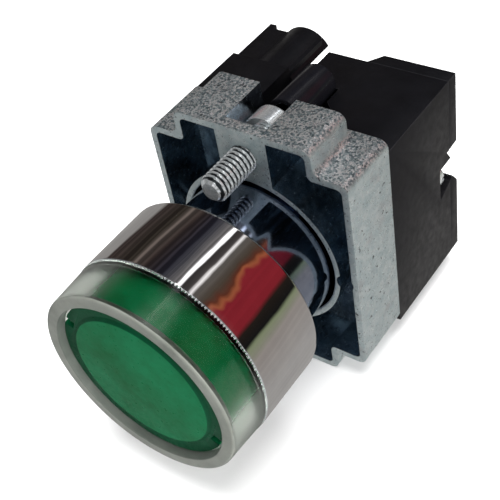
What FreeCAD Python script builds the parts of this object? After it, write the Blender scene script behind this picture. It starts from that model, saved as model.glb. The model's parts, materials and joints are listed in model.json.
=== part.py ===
import FreeCAD, Part
import os
import re

import Sketcher
from FreeCAD import Placement, Rotation, Vector

# Illuminated industrial push button for a 22 mm panel hole.
# Frame: X to the right, Y into the panel, Z up. The origin is on the button's axis, in the
# plane of the bezel's rear face, where the front of the panel seats. All sizes are millimetres.

os.makedirs("parts", exist_ok=True)
doc = FreeCAD.newDocument("push_button")

# ---------------------------------------------------------------- driving sizes
SIZES = {
    # head: everything in front of the panel, and the tail that goes through it
    "bezel_radius": 14.5,
    "bezel_depth": 11.1,
    "bezel_wall": 1.2,
    "bezel_lip": 2.4,
    "lip_wall": 1.6,
    "web_depth": 2.0,
    "bezel_edge": 0.4,
    "gasket_width": 1.5,
    "gasket_depth": 1.0,
    "gasket_inset": 1.0,
    "guard_depth": 6.4,
    "guard_draft": 0.3,
    "guard_edge": 0.7,
    "guard_skirt": 1.9,
    "guard_lens_gap": 0.3,
    "lens_radius": 12.05,
    "lens_recess": 0.6,
    "lens_wall": 1.35,
    "lens_front": 1.5,
    "stop_gap": 0.6,
    "plateau_radius": 9.9,
    "plateau_rise": 0.4,
    "lens_notch": 1.3,
    "lens_notch_depth": 0.9,
    "lens_notch_angle": 152.0,
    "diffuser_depth": 0.75,
    "tail_radius": 11.05,
    "tail_bore": 9.6,
    "tail_reach": 7.0,
    "flange_floor": 1.4,
    "seal_depth": 1.0,
    "press_travel": 4.0,
    # carrier that slides in the tail
    "carrier_radius": 7.7,
    "carrier_bore": 6.2,
    "carrier_inset": 2.8,
    "drum_wall": 1.2,
    "spring_seat": 2.0,
    "ledge_inset": 7.0,
    "ledge_depth": 2.0,
    "slide_gap": 0.3,
    "ring_depth": 0.8,
    "ring_radius": 8.9,
    "ring_groove": 0.45,
    "plate_radius": 9.3,
    "plate_depth": 1.0,
    "spring_wire": 0.8,
    "spring_turns": 6.0,
    # fixing collar, a die casting with deep pockets
    "collar_front": 9.0,
    "collar_depth": 9.5,
    "collar_half_width": 15.0,
    "shoulder_drop": 3.6,
    "hump_half_width": 10.25,
    "hump_height": 19.6,
    "collar_wall": 0.9,
    "collar_floor": 1.5,
    "collar_corner": 1.3,
    "collar_bore": 11.5,
    "rim_wall": 0.85,
    "ledge_radius": 10.0,
    "pillar_half_width": 3.8,
    "notch_gap": 0.2,
    "notch_front_wall": 1.7,
    "notch_head_gap": 0.6,
    "hump_setback": 1.4,
    # clamp screw and its driver guide
    "clamp_drop": 4.3,
    "clamp_thread": 1.95,
    "clamp_tip": 2.1,
    "clamp_head": 3.0,
    "clamp_head_inset": 5.0,
    "clamp_head_depth": 3.1,
    "thread_gap": 0.05,
    "guide_radius": 2.5,
    "guide_bore": 1.7,
    "guide_length": 8.5,
    "guide_foot": 5.0,
    # block envelope shared by the contact block and the light module
    "block_top_drop": 5.3,
    "block_bottom_drop": 3.3,
    "block_depth": 17.9,
    "block_wall": 1.0,
    "cover_depth": 2.1,
    "contact_inner": 5.7,
    "contact_raise": 0.8,
    "contact_step": 8.4,
    "outer_wall_reach": 0.9,
    "roof_wall": 1.4,
    "arch_inset": 3.2,
    "arch_drop": 3.3,
    "arch_radius": 4.1,
    "cover_side": 0.8,
    "module_inner": 3.2,
    "module_core": 5.5,
    "module_slant": 1.5,
    "module_setback": 4.4,
    "core_half_height": 6.2,
    "relief_side": 6.1,
    "relief_near": 2.6,
    "relief_far": 11.1,
    # contact mechanism
    "plunger_inset": 2.3,
    "plunger_radius": 1.1,
    "plunger_body": 3.0,
    "chamber_wall": 3.7,
    "chamber_half_height": 5.3,
    "bridge_gap": 4.0,
    "bridge_travel": 2.0,
    "bridge_thick": 0.6,
    "silver_rise": 3.6,
    "silver_radius": 0.9,
    "slider_half_height": 2.2,
    "pressure_coil": 1.3,
    "pressure_turns": 3.0,
    "return_coil": 1.5,
    "return_turns": 5.0,
    "contact_wire": 0.35,
    "strip_thick": 0.7,
    # terminals
    "terminal_drop": 4.7,
    "terminal_depth": 7.9,
    "screw_shank": 1.4,
    "screw_head": 2.0,
    "screw_head_depth": 1.8,
    "clamp_plate": 0.8,
    "clamp_half_height": 2.1,
    "clamp_lip": 0.5,
    "contact_clamp_half": 1.9,
    "module_clamp_half": 3.4,
    "wire_gap": 0.9,
    "wire_entry_half": 1.1,
    "wire_entry_rise": 1.6,
    "wire_entry_offset": 3.4,
    "screw_length": 6.5,
    # screws that hold the two blocks on the collar
    "fixing_inset": 1.95,
    "fixing_height": 0.9,
    "fixing_shank": 1.2,
    "fixing_head": 1.85,
    "fixing_head_depth": 1.6,
    "fixing_depth": 5.0,
    "boss_radius": 1.9,
    "boss_depth": 4.0,
    # lamp
    "lamp_radius": 4.3,
    "lamp_barrel": 9.5,
    "lamp_base_inset": 5.0,
    "lamp_rear_gap": 3.1,
    "socket_wall": 0.5,
}

sheet = doc.addObject("Spreadsheet::Sheet", "Sizes")
for row, (word, value) in enumerate(SIZES.items(), start=1):
    sheet.set(f"A{row}", word)
    sheet.set(f"B{row}", str(value))
    sheet.setAlias(f"B{row}", word)
doc.recompute()

# Places worked out once from the driving sizes and used by several pieces.
GUARD_HOLE = "(lens_radius + guard_lens_gap)"
BEZEL_FRONT = "(-bezel_depth)"
GUARD_FRONT = "(-bezel_depth - guard_depth)"
LENS_FACE = "(-bezel_depth - guard_depth + lens_recess)"
FLOOR = "(-web_depth - flange_floor)"
LENS_REAR = f"({FLOOR} - seal_depth - press_travel - stop_gap)"
SEAT = f"({LENS_REAR} + spring_seat)"
TAIL_END = "(collar_front + tail_reach)"
LEDGE_FRONT = f"({TAIL_END} - ledge_inset)"
CARRIER_END = f"({TAIL_END} - carrier_inset)"
PLATE_REAR = f"({CARRIER_END} + plate_depth)"
COLLAR_REAR = "(collar_front + collar_depth)"
SHOULDER = "(hump_height - shoulder_drop)"
CLAMP_Z = "(hump_height - clamp_drop)"
NOTCH_HALF = "(clamp_head + notch_gap)"
CLAMP_HEAD_FRONT = f"({COLLAR_REAR} - clamp_head_inset)"
BLOCK_REAR = f"({COLLAR_REAR} + block_depth)"
BLOCK_TOP = "(hump_height - block_top_drop)"
BLOCK_BOTTOM = "(-hump_height + block_bottom_drop)"
FIXING_X = "(collar_half_width - fixing_inset)"
FIXING_FLOOR = f"({BLOCK_REAR} - fixing_depth)"
CHAMBER_X = "(collar_half_width - chamber_wall)"
PLUNGER_X = "(contact_inner + plunger_inset)"
TERMINAL_Z = f"({BLOCK_TOP} - terminal_drop)"
TERMINAL_FLOOR = f"({BLOCK_REAR} - terminal_depth)"
CONTACT_STEP = f"({BLOCK_REAR} - contact_step)"
LAMP_REAR = f"({TERMINAL_FLOOR} - lamp_rear_gap)"
LAMP_BASE = f"({TAIL_END} - lamp_base_inset)"
LAMP_FRONT = f"({LAMP_BASE} - lamp_barrel)"
PLUNGER_REAR = "(collar_front + collar_depth + block_wall + slide_gap + plunger_body)"
BRIDGE_FRONT = f"({PLUNGER_REAR} + bridge_gap)"
TIP_FRONT = f"({BRIDGE_FRONT} + bridge_thick + bridge_travel + slide_gap)"
MODULE_REAR = f"({BLOCK_REAR} - cover_depth)"

# A coil is swept in pieces of this many turns, so that each of its faces stays short.
TURNS_PER_SEGMENT = 0.5

NODES = []


# ---------------------------------------------------------------- helpers
def bound(text):
    """Turn words that are named sizes into references to the sheet."""
    return re.sub(r"[a-z_]+", lambda m: "Sizes." + m[0] if m[0] in SIZES else m[0], text)


def keep(obj, label):
    """Give a finished sub-part its label and list it for export."""
    obj.Label = label
    NODES.append(obj)
    return obj


def new_body(label):
    return keep(doc.addObject("PartDesign::Body", label), label)


def new_sketch(body, plane, offset="0"):
    """A sketch on one of the body's own origin planes, moved along the plane's normal."""
    base = [f for f in body.Origin.OriginFeatures if f.Role == plane][0]
    sketch = body.newObject("Sketcher::SketchObject", body.Name + "_sketch")
    sketch.AttachmentSupport = [(base, "")]
    sketch.MapMode = "FlatFace"
    sketch.setExpression("AttachmentOffset.Base.z", bound(offset))
    return sketch


def outline(sketch, points):
    """A closed polygon whose corners are bound to the sheet: points are (x, y) expressions."""
    first = sketch.GeometryCount
    count = len(points)
    corners = [Vector(float(i), float(i * i), 0) for i in range(count)]
    for i in range(count):
        sketch.addGeometry(Part.LineSegment(corners[i], corners[(i + 1) % count]))
    for i in range(count):
        sketch.addConstraint(
            Sketcher.Constraint("Coincident", first + i, 2, first + (i + 1) % count, 1))
    for i, point in enumerate(points):
        for kind, axis, text in (("DistanceX", "x", point[0]), ("DistanceY", "y", point[1])):
            at = corners[i].x if axis == "x" else corners[i].y
            index = sketch.addConstraint(Sketcher.Constraint(kind, -1, 1, first + i, 1, at))
            name = f"{axis}{first + i}"
            sketch.renameConstraint(index, name)
            sketch.setExpression(f"Constraints.{name}", bound(text))


def ring(sketch, x, y, radius):
    """A circle with its centre and radius bound to the sheet."""
    index = sketch.addGeometry(Part.Circle(Vector(1, 1, 0), Vector(0, 0, 1), 1))
    for kind, name, text in (("DistanceX", "cx", x), ("DistanceY", "cy", y)):
        at = sketch.addConstraint(Sketcher.Constraint(kind, -1, 1, index, 3, 1))
        sketch.renameConstraint(at, f"{name}{index}")
        sketch.setExpression(f"Constraints.{name}{index}", bound(text))
    at = sketch.addConstraint(Sketcher.Constraint("Radius", index, 1))
    sketch.renameConstraint(at, f"radius{index}")
    sketch.setExpression(f"Constraints.radius{index}", bound(radius))


def feature(body, kind, sketch, length):
    """A pad or pocket of the sketch. A pad grows along the normal, a pocket cuts against it."""
    made = body.newObject(kind, body.Name + "_feature")
    made.Profile = sketch
    made.setExpression("Length", bound(length))
    sketch.Visibility = False
    doc.recompute()
    return made


def pad_y(body, rear, length, draw):
    """Grow forwards (towards -Y) from the plane y = rear."""
    sketch = new_sketch(body, "XZ_Plane", f"-({rear})")
    draw(sketch)
    return feature(body, "PartDesign::Pad", sketch, length)


def pocket_y(body, front, length, draw):
    """Cut backwards (towards +Y) from the plane y = front."""
    sketch = new_sketch(body, "XZ_Plane", f"-({front})")
    draw(sketch)
    return feature(body, "PartDesign::Pocket", sketch, length)


def turned(label, points):
    """A body turned about the button's axis from its (radius, y) profile."""
    body = new_body(label)
    sketch = new_sketch(body, "XY_Plane")
    outline(sketch, points)
    made = body.newObject("PartDesign::Revolution", label + "_turn")
    made.Profile = sketch
    made.ReferenceAxis = (sketch, ["V_Axis"])
    made.Angle = 360
    doc.recompute()
    return body


def round_edges(body, radius, chosen):
    """Round the edges of the body that the test `chosen` picks."""
    doc.recompute()
    base = body.Tip
    names = [f"Edge{i}" for i, edge in enumerate(base.Shape.Edges, start=1) if chosen(edge)]
    made = body.newObject("PartDesign::Fillet", body.Name + "_round")
    made.Base = (base, names)
    made.setExpression("Radius", bound(radius))
    doc.recompute()
    return made


def size_of(text):
    """The present value of an expression of named sizes, in millimetres."""
    return float(sheet.evalExpression(text))


def circle_at(edge, y, radius):
    """True for a full circle about the button's axis at that y, with that radius."""
    curve = edge.Curve
    if not isinstance(curve, Part.Circle):
        return False
    near_axis = abs(curve.Center.x) < 0.01 and abs(curve.Center.z) < 0.01
    return near_axis and abs(curve.Center.y - y) < 0.01 and abs(curve.Radius - radius) < 0.01


def box(name, low, high):
    """A box between two corners, each given as (x, y, z) expressions."""
    made = doc.addObject("Part::Box", name)
    for axis, side, start, end in zip("xyz", ("Length", "Width", "Height"), low, high):
        made.setExpression(f"Placement.Base.{axis}", bound(start))
        made.setExpression(side, bound(f"({end}) - ({start})"))
    return made


def rod(name, x, z, front, rear, radius):
    """A cylinder along Y from front to rear."""
    made = doc.addObject("Part::Cylinder", name)
    made.Placement = Placement(Vector(0, 0, 0), Rotation(Vector(1, 0, 0), -90))
    for axis, text in (("x", x), ("y", front), ("z", z)):
        made.setExpression(f"Placement.Base.{axis}", bound(text))
    made.setExpression("Radius", bound(radius))
    made.setExpression("Height", bound(f"({rear}) - ({front})"))
    return made


def prism_z(name, points, low, high):
    """A prism along Z over a polygon of (x, y) expressions."""
    sketch = doc.addObject("Sketcher::SketchObject", name + "_sketch")
    sketch.setExpression("Placement.Base.z", bound(low))
    outline(sketch, points)
    return extrusion(name, sketch, Vector(0, 0, 1), f"({high}) - ({low})")


def prism_x(name, points, low, high):
    """A prism along X over a polygon of (y, z) expressions."""
    sketch = doc.addObject("Sketcher::SketchObject", name + "_sketch")
    sketch.Placement = Placement(Vector(0, 0, 0), Rotation(Vector(1, 1, 1), 120))
    sketch.setExpression("Placement.Base.x", bound(low))
    outline(sketch, points)
    return extrusion(name, sketch, Vector(1, 0, 0), f"({high}) - ({low})")


def extrusion(name, sketch, direction, length):
    made = doc.addObject("Part::Extrusion", name)
    made.Base = sketch
    made.DirMode = "Custom"
    made.Dir = direction
    made.Solid = True
    made.setExpression("LengthFwd", bound(length))
    return made


def joined(name, shapes):
    if len(shapes) == 1:
        return shapes[0]
    made = doc.addObject("Part::MultiFuse", name)
    made.Shapes = shapes
    made.Refine = True
    return made


def carved(label, solids, cuts):
    """One piece: the solids joined, less the cuts."""
    base = joined(label + "_solid", solids)
    if not cuts:
        return keep(base, label)
    made = doc.addObject("Part::Cut", label)
    made.Base = base
    made.Tool = joined(label + "_cuts", cuts)
    made.Refine = True
    return keep(made, label)


def coil(label, x, z, front, rear, radius, wire, turns):
    """A spring along Y: a round wire swept along a helix."""
    placed = Placement(Vector(0, 0, 0), Rotation(Vector(1, 0, 0), -90))
    helix = doc.addObject("Part::Helix", label + "_helix")
    circle = doc.addObject("Part::Circle", label + "_wire")
    helix.Placement = placed
    circle.Placement = Placement(Vector(0, 0, 0), Rotation(Vector(0, 0, 1), 0))
    start = f"({front}) + ({wire}) / 2"
    for obj, across in ((helix, x), (circle, f"({x}) + ({radius})")):
        obj.setExpression("Placement.Base.x", bound(across))
        obj.setExpression("Placement.Base.y", bound(start))
        obj.setExpression("Placement.Base.z", bound(z))
    span = f"(({rear}) - ({front}) - ({wire}))"
    helix.setExpression("Radius", bound(radius))
    helix.setExpression("Height", bound(span))
    helix.setExpression("Pitch", bound(f"{span} / ({turns})"))
    helix.SegmentLength = TURNS_PER_SEGMENT
    circle.setExpression("Radius", bound(f"({wire}) / 2"))
    doc.recompute()
    # The wire's circle stands square to the helix where it starts, with its normal up.
    made = doc.addObject("Part::Sweep", label)
    made.Sections = [circle]
    made.Spine = (helix, [f"Edge{i + 1}" for i in range(len(helix.Shape.Edges))])
    made.Solid = True
    made.Frenet = True
    return keep(made, label)


# ---------------------------------------------------------------- head
def make_bezel():
    """Chromed ring: a front lip holds the guard ring, a rear web bears on the panel."""
    bore = "bezel_radius - bezel_wall"
    lip = "bezel_radius - lip_wall"
    groove_out = "bezel_radius - gasket_inset"
    groove_in = f"{groove_out} - gasket_width"
    web_bore = "tail_radius + slide_gap"
    body = turned("bezel", [
        (lip, BEZEL_FRONT), ("bezel_radius", BEZEL_FRONT), ("bezel_radius", "0"),
        (groove_out, "0"), (groove_out, "-gasket_depth"), (groove_in, "-gasket_depth"),
        (groove_in, "0"), (web_bore, "0"), (web_bore, "-web_depth"), (bore, "-web_depth"),
        (bore, "-bezel_depth + bezel_lip"), (lip, "-bezel_depth + bezel_lip")])
    outer = size_of("bezel_radius")
    front = -size_of("bezel_depth")
    round_edges(body, "bezel_edge",
                lambda e: circle_at(e, 0, outer) or circle_at(e, front, outer))


def make_guard_ring():
    """Clear ring around the lens, with a skirt that plugs into the bezel's lip."""
    skirt = "bezel_radius - lip_wall - 0.1"
    body = turned("guard_ring", [
        (GUARD_HOLE, GUARD_FRONT), ("bezel_radius - 0.1 - guard_draft", GUARD_FRONT),
        ("bezel_radius - 0.1", BEZEL_FRONT), (skirt, BEZEL_FRONT),
        (skirt, "-bezel_depth + guard_skirt"), (GUARD_HOLE, "-bezel_depth + guard_skirt")])
    outer = size_of("bezel_radius - 0.1 - guard_draft")
    round_edges(body, "guard_edge", lambda e: circle_at(e, size_of(GUARD_FRONT), outer))


def make_head_body():
    """Die-cast body: flange inside the bezel, tail through the panel, ledge for the spring."""
    flange = "bezel_radius - bezel_wall - 0.05"
    flange_front = "-bezel_depth + bezel_lip"
    cup = GUARD_HOLE
    ledge = "carrier_radius + slide_gap"
    turned("head_body", [
        (cup, flange_front), (flange, flange_front), (flange, "-web_depth"),
        ("tail_radius", "-web_depth"), ("tail_radius", TAIL_END), ("tail_bore", TAIL_END),
        ("tail_bore", f"{LEDGE_FRONT} + ledge_depth"), (ledge, f"{LEDGE_FRONT} + ledge_depth"),
        (ledge, LEDGE_FRONT), ("tail_bore", LEDGE_FRONT), ("tail_bore", FLOOR),
        (cup, FLOOR)])


def make_panel_gasket():
    """Rubber washer in the groove of the bezel's rear face."""
    outer = "bezel_radius - gasket_inset - 0.05"
    inner = "bezel_radius - gasket_inset - gasket_width + 0.05"
    turned("panel_gasket", [
        (inner, "-gasket_depth"), (outer, "-gasket_depth"), (outer, "-0.02"), (inner, "-0.02")])


def make_bumper_seal():
    """Rubber washer on the floor of the cup, which the lens comes down towards."""
    front = f"{FLOOR} - seal_depth"
    turned("bumper_seal", [
        ("tail_bore + 0.2", front), (f"{GUARD_HOLE} - 0.1", front),
        (f"{GUARD_HOLE} - 0.1", FLOOR), ("tail_bore + 0.2", FLOOR)])


# ---------------------------------------------------------------- moving button
def make_lens_cap():
    """Green lens: a cup with a raised plateau and two notches for taking it off."""
    inner = "lens_radius - lens_wall"
    rim = f"{LENS_FACE} + plateau_rise"
    body = turned("lens_cap", [
        ("0", LENS_FACE), ("plateau_radius", LENS_FACE), ("plateau_radius + plateau_rise", rim),
        ("lens_radius", rim), ("lens_radius", LENS_REAR), (inner, LENS_REAR),
        (inner, f"{LENS_FACE} + lens_front"), ("0", f"{LENS_FACE} + lens_front")])
    sketch = new_sketch(body, "XZ_Plane", f"-({rim})")
    half = "lens_notch / 2"
    outline(sketch, [
        ("lens_radius - lens_notch", f"-{half}"), ("lens_radius + 1", f"-{half}"),
        ("lens_radius + 1", half), ("lens_radius - lens_notch", half)])
    outline(sketch, [
        ("-lens_radius - 1", f"-{half}"), ("-lens_radius + lens_notch", f"-{half}"),
        ("-lens_radius + lens_notch", half), ("-lens_radius - 1", half)])
    sketch.AttachmentOffset = Placement(Vector(0, 0, 0), Rotation(Vector(0, 0, 1), 0))
    sketch.setExpression("AttachmentOffset.Rotation.Angle", bound("lens_notch_angle"))
    feature(body, "PartDesign::Pocket", sketch, "lens_notch_depth")


def make_lens_diffuser():
    """Milky disc between the lens and the carrier's drum."""
    front = f"{LENS_FACE} + lens_front + 0.05"
    edge = "lens_radius - lens_wall - 0.1"
    turned("lens_diffuser", [
        ("0", front), (edge, front), (edge, f"{front} + diffuser_depth"),
        ("0", f"{front} + diffuser_depth")])


def make_button_carrier():
    """Plastic sleeve: drum under the lens, spring seat, long stem with a ring groove."""
    drum = "lens_radius - lens_wall - 0.15"
    front = f"{LENS_FACE} + lens_front + diffuser_depth + 0.1"
    seat = "tail_bore - slide_gap"
    groove = "carrier_radius - ring_groove"
    groove_front = f"{LEDGE_FRONT} + ledge_depth + slide_gap - 0.02"
    turned("button_carrier", [
        (f"{drum} - drum_wall", front), (drum, front), (drum, LENS_REAR), (seat, LENS_REAR),
        (seat, SEAT), ("carrier_radius", SEAT), ("carrier_radius", groove_front),
        (groove, groove_front), (groove, f"{groove_front} + ring_depth + 0.04"),
        ("carrier_radius", f"{groove_front} + ring_depth + 0.04"),
        ("carrier_radius", CARRIER_END), ("carrier_bore", CARRIER_END),
        ("carrier_bore", f"{SEAT} - 1"), (f"{drum} - drum_wall", f"{SEAT} - 1 - drum_wall")])


def make_retaining_ring():
    """Open spring-steel ring in the stem's groove, stopped by the tail's ledge."""
    front = f"{LEDGE_FRONT} + ledge_depth + slide_gap"
    inner = "carrier_radius - ring_groove + 0.05"
    body = turned("retaining_ring", [
        (inner, front), ("ring_radius", front), ("ring_radius", f"{front} + ring_depth"),
        (inner, f"{front} + ring_depth")])
    pocket_y(body, f"{front} - 1", "ring_depth + 2", lambda s: outline(s, [
        ("-ring_radius / 6", "-ring_radius - 1"), ("ring_radius / 6", "-ring_radius - 1"),
        ("ring_radius / 6", "0"), ("-ring_radius / 6", "0")]))


def make_push_plate():
    """Disc snapped on the stem's rear end, which pushes the contact block's plunger."""
    turned("push_plate", [
        ("carrier_bore", CARRIER_END), ("plate_radius", CARRIER_END),
        ("plate_radius", PLATE_REAR), ("carrier_bore", PLATE_REAR)])


def make_return_spring():
    """Coil between the carrier's seat and the tail's ledge, around the stem."""
    radius = "(tail_bore + carrier_radius) / 2"
    coil("return_spring", "0", "0", f"{SEAT} + 0.05", f"{LEDGE_FRONT} - 0.05", radius,
         "spring_wire", "spring_turns")


# ---------------------------------------------------------------- fixing collar
def collar_outline(inset):
    """Cross-shaped outline of the casting, drawn inwards by `inset`."""
    side = f"collar_half_width - {inset}"
    hump = f"hump_half_width - {inset}"
    shoulder = f"{SHOULDER} - {inset}"
    top = f"hump_height - {inset}"
    right = [(side, f"-({shoulder})"), (side, shoulder), (hump, shoulder), (hump, top)]
    left = [(f"-({hump})", top), (f"-({hump})", shoulder), (f"-({side})", shoulder),
            (f"-({side})", f"-({shoulder})")]
    bottom = [(f"-({hump})", f"-({shoulder})"), (f"-({hump})", f"-({top})"),
              (hump, f"-({top})"), (hump, f"-({shoulder})")]
    return right + left + bottom


def along_y(edge, outside):
    """True for a straight edge along Y whose corner lies in the casting's outer wall."""
    if not isinstance(edge.Curve, Part.Line) or abs(edge.Curve.Direction.y) < 0.99:
        return False
    at = edge.CenterOfMass
    return outside(abs(at.x), abs(at.z))


def rectangle(x0, x1, z0, z1):
    return [(x0, z0), (x1, z0), (x1, z1), (x0, z1)]


def make_fixing_collar():
    """Die casting: thin outer wall, rim round the bore, two pillars, bosses for the blocks."""
    body = new_body("fixing_collar")
    pad_y(body, COLLAR_REAR, "collar_depth", lambda s: outline(s, collar_outline("0")))
    round_edges(body, "collar_corner", lambda e: along_y(e, lambda x, z: True))

    # One deep pocket inside the wall; the rim, pillars and bosses are then grown back in it.
    pocket_depth = "collar_depth - collar_floor"
    pocket_y(body, "collar_front", pocket_depth,
             lambda s: outline(s, collar_outline("collar_wall")))
    floor = "collar_front + collar_depth - collar_floor"
    inner_side = size_of("collar_half_width - collar_wall")
    inner_hump = size_of("hump_half_width - collar_wall")
    inner_shoulder = size_of(f"{SHOULDER} - collar_wall")
    inner_top = size_of("hump_height - collar_wall")

    def pocket_corner(x, z):
        side = abs(x - inner_side) < 0.01 and abs(z - inner_shoulder) < 0.01
        step = abs(x - inner_hump) < 0.01 and abs(z - inner_shoulder) < 0.01
        top = abs(x - inner_hump) < 0.01 and abs(z - inner_top) < 0.01
        return side or step or top

    round_edges(body, "collar_corner - 0.5", lambda e: along_y(e, pocket_corner))
    pad_y(body, floor, pocket_depth,
          lambda s: ring(s, "0", "0", "collar_bore + rim_wall"))
    for top, low in (("hump_height - collar_wall / 2", "collar_bore - 1"),
                     ("-collar_bore + 1", "-hump_height + collar_wall / 2")):
        pad_y(body, floor, pocket_depth, lambda s: outline(s, rectangle(
            "-pillar_half_width", "pillar_half_width", low, top)))
    for side in (FIXING_X, f"-{FIXING_X}"):
        pad_y(body, floor, "boss_depth",
              lambda s: ring(s, side, "-fixing_height", "boss_radius"))

    # Bore for the tail, with a smaller ledge behind the tail's end.
    tail_seat = f"{TAIL_END} - collar_front + 0.05"
    pocket_y(body, "collar_front", tail_seat, lambda s: ring(s, "0", "0", "collar_bore"))
    pocket_y(body, "collar_front", "collar_depth", lambda s: ring(s, "0", "0", "ledge_radius"))

    # Clamp screw's threaded hole, and the notch behind it that is open to the top and rear.
    for height in (CLAMP_Z, f"-{CLAMP_Z}"):
        pocket_y(body, "collar_front", "collar_depth",
                 lambda s: ring(s, "0", height, "clamp_thread + thread_gap"))
    notch_front = "collar_front + notch_front_wall"
    pocket_y(body, notch_front, "collar_depth", lambda s: outline(s, rectangle(
        f"-{NOTCH_HALF}", NOTCH_HALF, f"{CLAMP_Z} - clamp_head - notch_head_gap",
        "hump_height + 1")))

    # The right half of the top hump is a little shorter than the left half.
    pocket_y(body, f"{COLLAR_REAR} - hump_setback", "hump_setback", lambda s: outline(
        s, rectangle(NOTCH_HALF, "collar_half_width + 1", SHOULDER,
                     "hump_height + 1")))
    for side in (FIXING_X, f"-{FIXING_X}"):
        pocket_y(body, "collar_front", "collar_depth", lambda s: ring(
            s, side, "-fixing_height", "fixing_shank + thread_gap"))
    rim_front = size_of("collar_front")
    round_edges(body, "rim_wall / 4",
                lambda e: circle_at(e, rim_front, size_of("collar_bore")))


# ---------------------------------------------------------------- screws
def screw(label, x, z, tip, head_front, head_depth, shank, head):
    """A cheese-head screw along Y with a straight slot: its head is at the rear."""
    head_rear = f"{head_front} + {head_depth}"
    slot = rod_slot(label, x, z, head_rear, head, head_depth)
    tip_cone = f"{shank} * 0.4"
    shaft = rod(label + "_shaft", x, z, f"{tip} + {tip_cone}", f"{head_front} + 0.2", shank)
    point = doc.addObject("Part::Cone", label + "_point")
    point.Placement = Placement(Vector(0, 0, 0), Rotation(Vector(1, 0, 0), -90))
    for axis, text in (("x", x), ("y", tip), ("z", z)):
        point.setExpression(f"Placement.Base.{axis}", bound(text))
    point.setExpression("Radius1", bound(f"{shank} * 0.7"))
    point.setExpression("Radius2", bound(shank))
    point.setExpression("Height", bound(tip_cone))
    cap = rod(label + "_head", x, z, head_front, head_rear, head)
    carved(label, [point, shaft, cap], [slot])


def rod_slot(label, x, z, head_rear, head, head_depth):
    half = f"{head} * 0.16"
    return box(label + "_slot",
               (f"{x} - {head} - 1", f"{head_rear} - {head_depth} * 0.5", f"{z} - {half}"),
               (f"{x} + {head} + 1", f"{head_rear} + 1", f"{z} + {half}"))


def make_clamp_screw():
    """Clamp screw in the top pillar: its tip presses on the back of the panel."""
    screw("clamp_screw", "0", CLAMP_Z, "clamp_tip", CLAMP_HEAD_FRONT,
          "clamp_head_depth", "clamp_thread", "clamp_head")


def make_screw_guide():
    """Plastic tube behind the clamp screw that guides the screwdriver, on a small foot."""
    front = COLLAR_REAR
    rear = f"({front}) + guide_length"
    tube = rod("guide_tube", "0", CLAMP_Z, front, rear, "guide_radius")
    low = f"{CLAMP_Z} - guide_radius - 0.5"
    foot = box("guide_foot", ("-guide_radius * 0.5", front, low),
               ("guide_radius * 0.5", f"({front}) + guide_foot",
                f"{CLAMP_Z} - guide_radius + 0.6"))
    hole = rod("guide_hole", "0", CLAMP_Z, f"{front} - 1", f"{rear} + 1", "guide_bore")
    carved("screw_guide", [tube, foot], [hole])


def make_fixing_screws():
    """Two screws that hold the contact block and the light module on the collar."""
    for label, x in (("contact_fixing_screw", f"-{FIXING_X}"),
                     ("module_fixing_screw", FIXING_X)):
        screw(label, x, "-fixing_height", f"{COLLAR_REAR} - boss_depth", FIXING_FLOOR,
              "fixing_head_depth", "fixing_shank", "fixing_head")


# ---------------------------------------------------------------- contact block
CONTACT_TERMINAL_X = "(-collar_half_width + block_wall + screw_head + 0.1)"


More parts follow.
